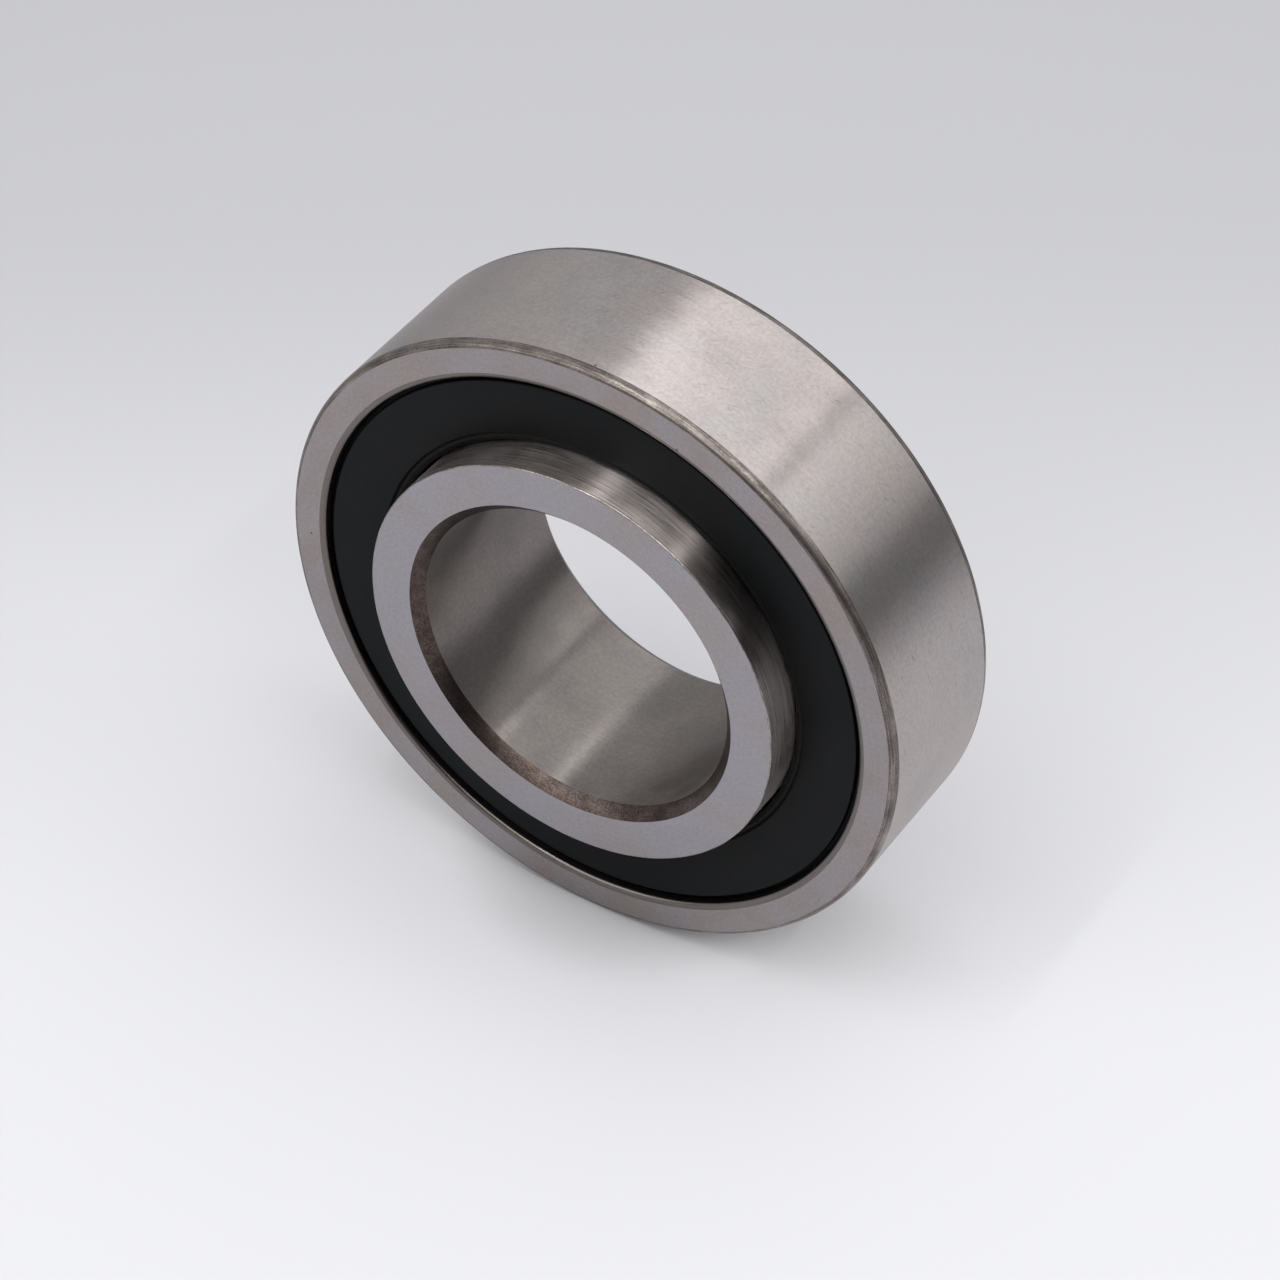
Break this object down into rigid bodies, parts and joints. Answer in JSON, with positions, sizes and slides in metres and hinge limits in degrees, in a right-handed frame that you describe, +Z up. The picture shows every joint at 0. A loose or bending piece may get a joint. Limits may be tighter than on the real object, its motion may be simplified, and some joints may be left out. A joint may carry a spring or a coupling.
{
  "type": "sealed deep groove ball bearing",
  "caption": "Sealed deep groove ball bearing: black rubber seals, and an inner ring wider than the outer ring, standing proud on both sides.",
  "frame": {"origin": "on the bearing axis, halfway along the inner ring", "axes": "+Y along the bearing axis towards its back, +Z up as it stands on its rim; the side where the inner ring stands out further faces -Y"},
  "size_m": [0.08, 0.0262, 0.08],
  "materials": {
    "ring_steel": "ground bearing steel, satin, with turned chamfers",
    "ball_steel": "polished bearing balls",
    "cage_steel": "pressed sheet steel, lightly oiled",
    "rivet_steel": "drawn steel rivets",
    "seal_rubber": "matte black moulded nitrile rubber",
    "insert_steel": "phosphated sheet steel under the rubber"
  },
  "bodies": {
    "outer": {"outer_ring": "ring_steel", "seal_front": "seal_rubber", "seal_insert_front": "insert_steel", "seal_back": "seal_rubber", "seal_insert_back": "insert_steel"},
    "inner": {"inner_ring": "ring_steel"},
    "cage": {"cage_front": "cage_steel", "cage_back": "cage_steel", "rivet_1": "rivet_steel", "rivet_2": "rivet_steel", "rivet_3": "rivet_steel", "rivet_4": "rivet_steel", "rivet_5": "rivet_steel", "rivet_6": "rivet_steel", "rivet_7": "rivet_steel", "rivet_8": "rivet_steel", "rivet_9": "rivet_steel"},
    "ball_1": {"ball_1": "ball_steel"},
    "ball_2": {"ball_2": "ball_steel"},
    "ball_3": {"ball_3": "ball_steel"},
    "ball_4": {"ball_4": "ball_steel"},
    "ball_5": {"ball_5": "ball_steel"},
    "ball_6": {"ball_6": "ball_steel"},
    "ball_7": {"ball_7": "ball_steel"},
    "ball_8": {"ball_8": "ball_steel"},
    "ball_9": {"ball_9": "ball_steel"}
  },
  "joints": [
    {"name": "inner_spin", "type": "hinge", "parent": "outer", "child": "inner", "pos_m": [0, 0, 0], "axis": [0, 1, 0], "continuous": true},
    {"name": "cage_spin", "type": "hinge", "parent": "outer", "child": "cage", "pos_m": [0, 0.0006, 0], "axis": [0, 1, 0], "continuous": true},
    {"name": "ball_1_spin", "type": "hinge", "parent": "cage", "child": "ball_1", "pos_m": [0, 0.0006, 0.03], "axis": [0, 1, 0], "continuous": true},
    {"name": "ball_2_spin", "type": "hinge", "parent": "cage", "child": "ball_2", "pos_m": [-0.01928, 0.0006, 0.02298], "axis": [0, 1, 0], "continuous": true},
    {"name": "ball_3_spin", "type": "hinge", "parent": "cage", "child": "ball_3", "pos_m": [-0.02954, 0.0006, 0.00521], "axis": [0, 1, 0], "continuous": true},
    {"name": "ball_4_spin", "type": "hinge", "parent": "cage", "child": "ball_4", "pos_m": [-0.02598, 0.0006, -0.015], "axis": [0, 1, 0], "continuous": true},
    {"name": "ball_5_spin", "type": "hinge", "parent": "cage", "child": "ball_5", "pos_m": [-0.01026, 0.0006, -0.02819], "axis": [0, 1, 0], "continuous": true},
    {"name": "ball_6_spin", "type": "hinge", "parent": "cage", "child": "ball_6", "pos_m": [0.01026, 0.0006, -0.02819], "axis": [0, 1, 0], "continuous": true},
    {"name": "ball_7_spin", "type": "hinge", "parent": "cage", "child": "ball_7", "pos_m": [0.02598, 0.0006, -0.015], "axis": [0, 1, 0], "continuous": true},
    {"name": "ball_8_spin", "type": "hinge", "parent": "cage", "child": "ball_8", "pos_m": [0.02954, 0.0006, 0.00521], "axis": [0, 1, 0], "continuous": true},
    {"name": "ball_9_spin", "type": "hinge", "parent": "cage", "child": "ball_9", "pos_m": [0.01928, 0.0006, 0.02298], "axis": [0, 1, 0], "continuous": true}
  ],
  "couplings": [
    {"joint": "cage_spin", "follows": "inner_spin", "ratio": 0.4},
    {"joint": "ball_1_spin", "follows": "inner_spin", "ratio": -2.4},
    {"joint": "ball_2_spin", "follows": "inner_spin", "ratio": -2.4},
    {"joint": "ball_3_spin", "follows": "inner_spin", "ratio": -2.4},
    {"joint": "ball_4_spin", "follows": "inner_spin", "ratio": -2.4},
    {"joint": "ball_5_spin", "follows": "inner_spin", "ratio": -2.4},
    {"joint": "ball_6_spin", "follows": "inner_spin", "ratio": -2.4},
    {"joint": "ball_7_spin", "follows": "inner_spin", "ratio": -2.4},
    {"joint": "ball_8_spin", "follows": "inner_spin", "ratio": -2.4},
    {"joint": "ball_9_spin", "follows": "inner_spin", "ratio": -2.4}
  ]
}
